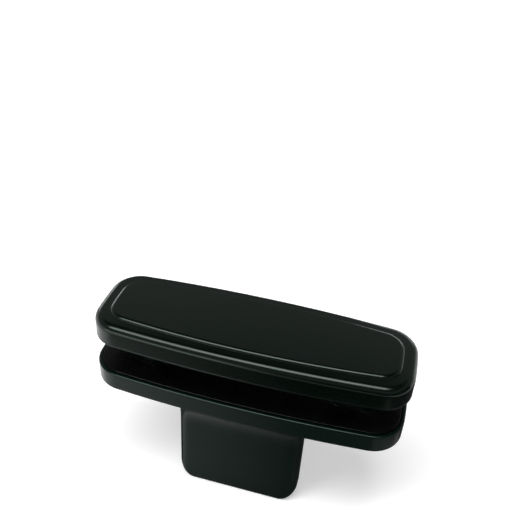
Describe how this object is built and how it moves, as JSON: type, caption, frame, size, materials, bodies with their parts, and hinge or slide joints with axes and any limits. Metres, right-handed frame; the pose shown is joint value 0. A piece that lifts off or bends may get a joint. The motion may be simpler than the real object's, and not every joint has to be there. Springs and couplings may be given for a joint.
{
  "type": "window latch",
  "caption": "Clamp-on sliding window latch: bowed cover with a raised panel, slotted glass pads and an inner plate with a square finger paddle, drawn together by end screws.",
  "frame": {"origin": "middle of the inner pad's face, where the glass rests", "axes": "+X along the latch, +Y across it away from the paddle's near face, +Z out through the glass to the cover"},
  "size_m": [0.08, 0.0278, 0.0505],
  "materials": {
    "moulded_plastic": "satin gloss black moulding",
    "pad_rubber": "matt dark sheet rubber",
    "screw_steel": "plain turned steel",
    "insert_brass": "plain turned brass"
  },
  "bodies": {
    "inner_half": {"inner_plate": "moulded_plastic", "inner_gasket": "pad_rubber"},
    "outer_half": {"outer_cover": "moulded_plastic", "outer_gasket": "pad_rubber", "insert_left": "insert_brass", "insert_right": "insert_brass"},
    "left_screw": {"clamp_screw_left": "screw_steel"},
    "right_screw": {"clamp_screw_right": "screw_steel"}
  },
  "joints": [
    {"name": "cover_close", "type": "slide", "parent": "inner_half", "child": "outer_half", "axis": [0, 0, -1], "range_m": [0, 0.003]},
    {"name": "left_screw_turn", "type": "hinge", "parent": "inner_half", "child": "left_screw", "pos_m": [-0.0268, 0, 0], "axis": [0, 0, 1], "range_deg": [0, 1350]},
    {"name": "right_screw_turn", "type": "hinge", "parent": "inner_half", "child": "right_screw", "pos_m": [0.0268, 0, 0], "axis": [0, 0, 1], "range_deg": [0, 1350]}
  ],
  "couplings": [
    {"joint": "left_screw_turn", "follows": "cover_close", "rad_per_m": 7854},
    {"joint": "right_screw_turn", "follows": "cover_close", "rad_per_m": 7854}
  ]
}
